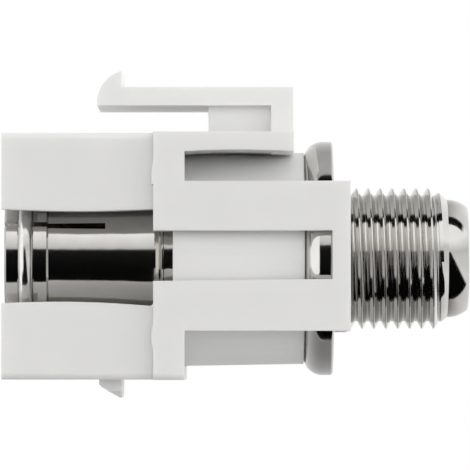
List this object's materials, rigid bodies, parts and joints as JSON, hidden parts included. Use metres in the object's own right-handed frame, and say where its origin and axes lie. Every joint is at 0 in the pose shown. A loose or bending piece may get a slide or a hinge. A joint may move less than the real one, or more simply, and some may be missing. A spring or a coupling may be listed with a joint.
{
  "type": "keystone coaxial connector module with F port",
  "caption": "Snap-in keystone module: threaded F port at the rear, slotted push-on aerial socket at the front, in a white clip housing.",
  "frame": {"origin": "on the coax axis, in the plane of the stop pads that a keystone panel rests against", "axes": "+X along the coax axis towards the F port, +Z towards the latch, Y across"},
  "size_m": [0.0307, 0.017, 0.0215],
  "materials": {
    "white_plastic": "fine moulded satin",
    "nickel_plate": "bright plated, turned",
    "spring_wire": "drawn bright wire",
    "insulator": "turned, satin",
    "contact_plate": "plated, smooth"
  },
  "bodies": {
    "root": {"housing": "white_plastic", "latch_clip": "white_plastic", "connector_body": "nickel_plate", "socket_sleeve": "nickel_plate", "spring_ring": "spring_wire", "socket_insulator": "insulator", "nose_insulator": "insulator", "centre_contact": "contact_plate", "spring_contact": "contact_plate"}
  },
  "joints": []
}
